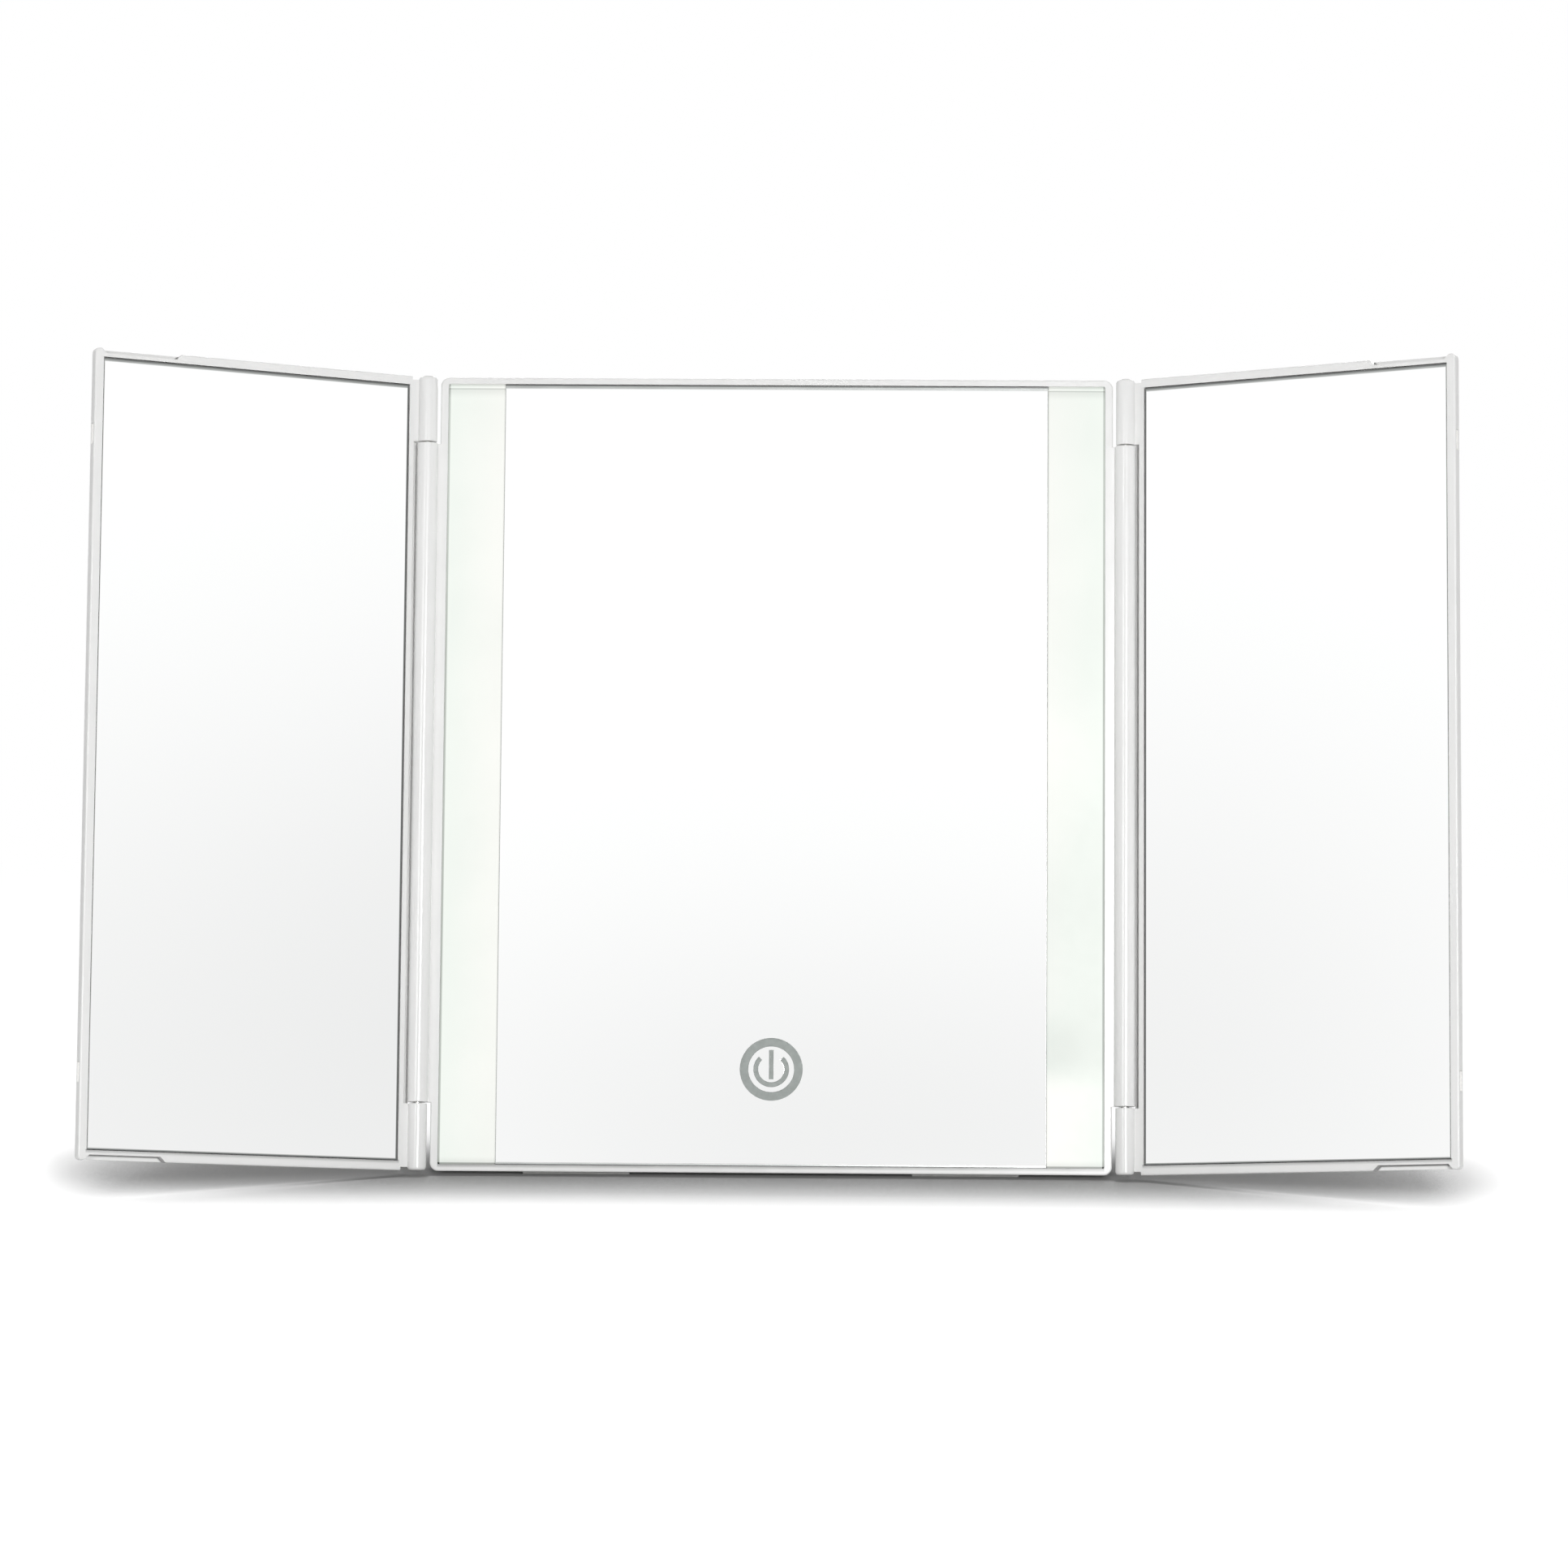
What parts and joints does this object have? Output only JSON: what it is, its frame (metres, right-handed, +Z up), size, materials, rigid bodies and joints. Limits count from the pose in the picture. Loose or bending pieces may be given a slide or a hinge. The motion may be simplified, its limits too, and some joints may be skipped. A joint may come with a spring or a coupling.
{
  "type": "vanity mirror",
  "caption": "Slim trifold vanity mirror with a lit centre panel, folding mirror wings on barrel hinges, a touch switch mark and a rear kickstand.",
  "frame": {"origin": "on the table, under the middle of the part's box at rest", "axes": "+Z up, +X to the viewer's right, the mirrors face -Y and lean back towards +Y"},
  "size_m": [0.4036, 0.1166, 0.2446],
  "materials": {
    "white_plastic": "satin white moulding",
    "mirror_glass": "silvered glass",
    "lit_window": "frosted, lit from behind",
    "icon_print": "flush grey-green mark",
    "foam_tape": "foam adhesive sheet",
    "led_strip": "white solder mask",
    "led_chip": "phosphor",
    "circuit_board": "green solder mask",
    "sensor_film": "polyimide film",
    "chip_black": "black moulding",
    "steel": "plain steel",
    "wire_jacket": "insulation",
    "battery_pouch": "pouch foil",
    "rubber_foot": "soft light grey rubber",
    "nylon": "nylon",
    "magnet": "plated magnet"
  },
  "bodies": {
    "center": {"center_frame": "white_plastic", "back_cover": "white_plastic", "center_mirror": "mirror_glass", "center_adhesive": "foam_tape", "left_light_window": "lit_window", "right_light_window": "lit_window", "touch_icon": "icon_print", "touch_sensor": "sensor_film", "touch_lead": "sensor_film", "left_led_board": "led_strip", "right_led_board": "led_strip", "left_leds": "led_chip", "right_leds": "led_chip", "left_led_leads": "wire_jacket", "right_led_leads": "wire_jacket", "control_board": "circuit_board", "board_chips": "chip_black", "board_screws": "steel", "charging_shell": "steel", "charging_tongue": "chip_black", "battery": "battery_pouch", "battery_leads": "wire_jacket", "cover_screws": "steel", "front_feet": "rubber_foot", "left_hinge_sleeves": "nylon", "right_hinge_sleeves": "nylon"},
    "left_wing": {"left_wing_frame": "white_plastic", "left_wing_back": "white_plastic", "left_wing_mirror": "mirror_glass", "left_wing_adhesive": "foam_tape", "left_wing_magnets": "magnet", "left_hinge_pins": "steel"},
    "right_wing": {"right_wing_frame": "white_plastic", "right_wing_back": "white_plastic", "right_wing_mirror": "mirror_glass", "right_wing_adhesive": "foam_tape", "right_wing_magnets": "magnet", "right_hinge_pins": "steel"},
    "stand": {"stand_leg": "white_plastic", "stand_pins": "steel", "stand_foot": "rubber_foot"}
  },
  "joints": [
    {"name": "left_wing_hinge", "type": "hinge", "parent": "center", "child": "left_wing", "pos_m": [-0.1053, 0.01528, 0.11747], "axis": [0, 0.2588, 0.9659], "range_deg": [-25.4, 154.6]},
    {"name": "right_wing_hinge", "type": "hinge", "parent": "center", "child": "right_wing", "pos_m": [0.1053, 0.01528, 0.11747], "axis": [0, -0.2588, -0.9659], "range_deg": [-25.4, 154.6]},
    {"name": "stand_hinge", "type": "hinge", "parent": "center", "child": "stand", "pos_m": [0, 0.02953, 0.12814], "axis": [-1, 0, 0], "range_deg": [0, 23]}
  ]
}
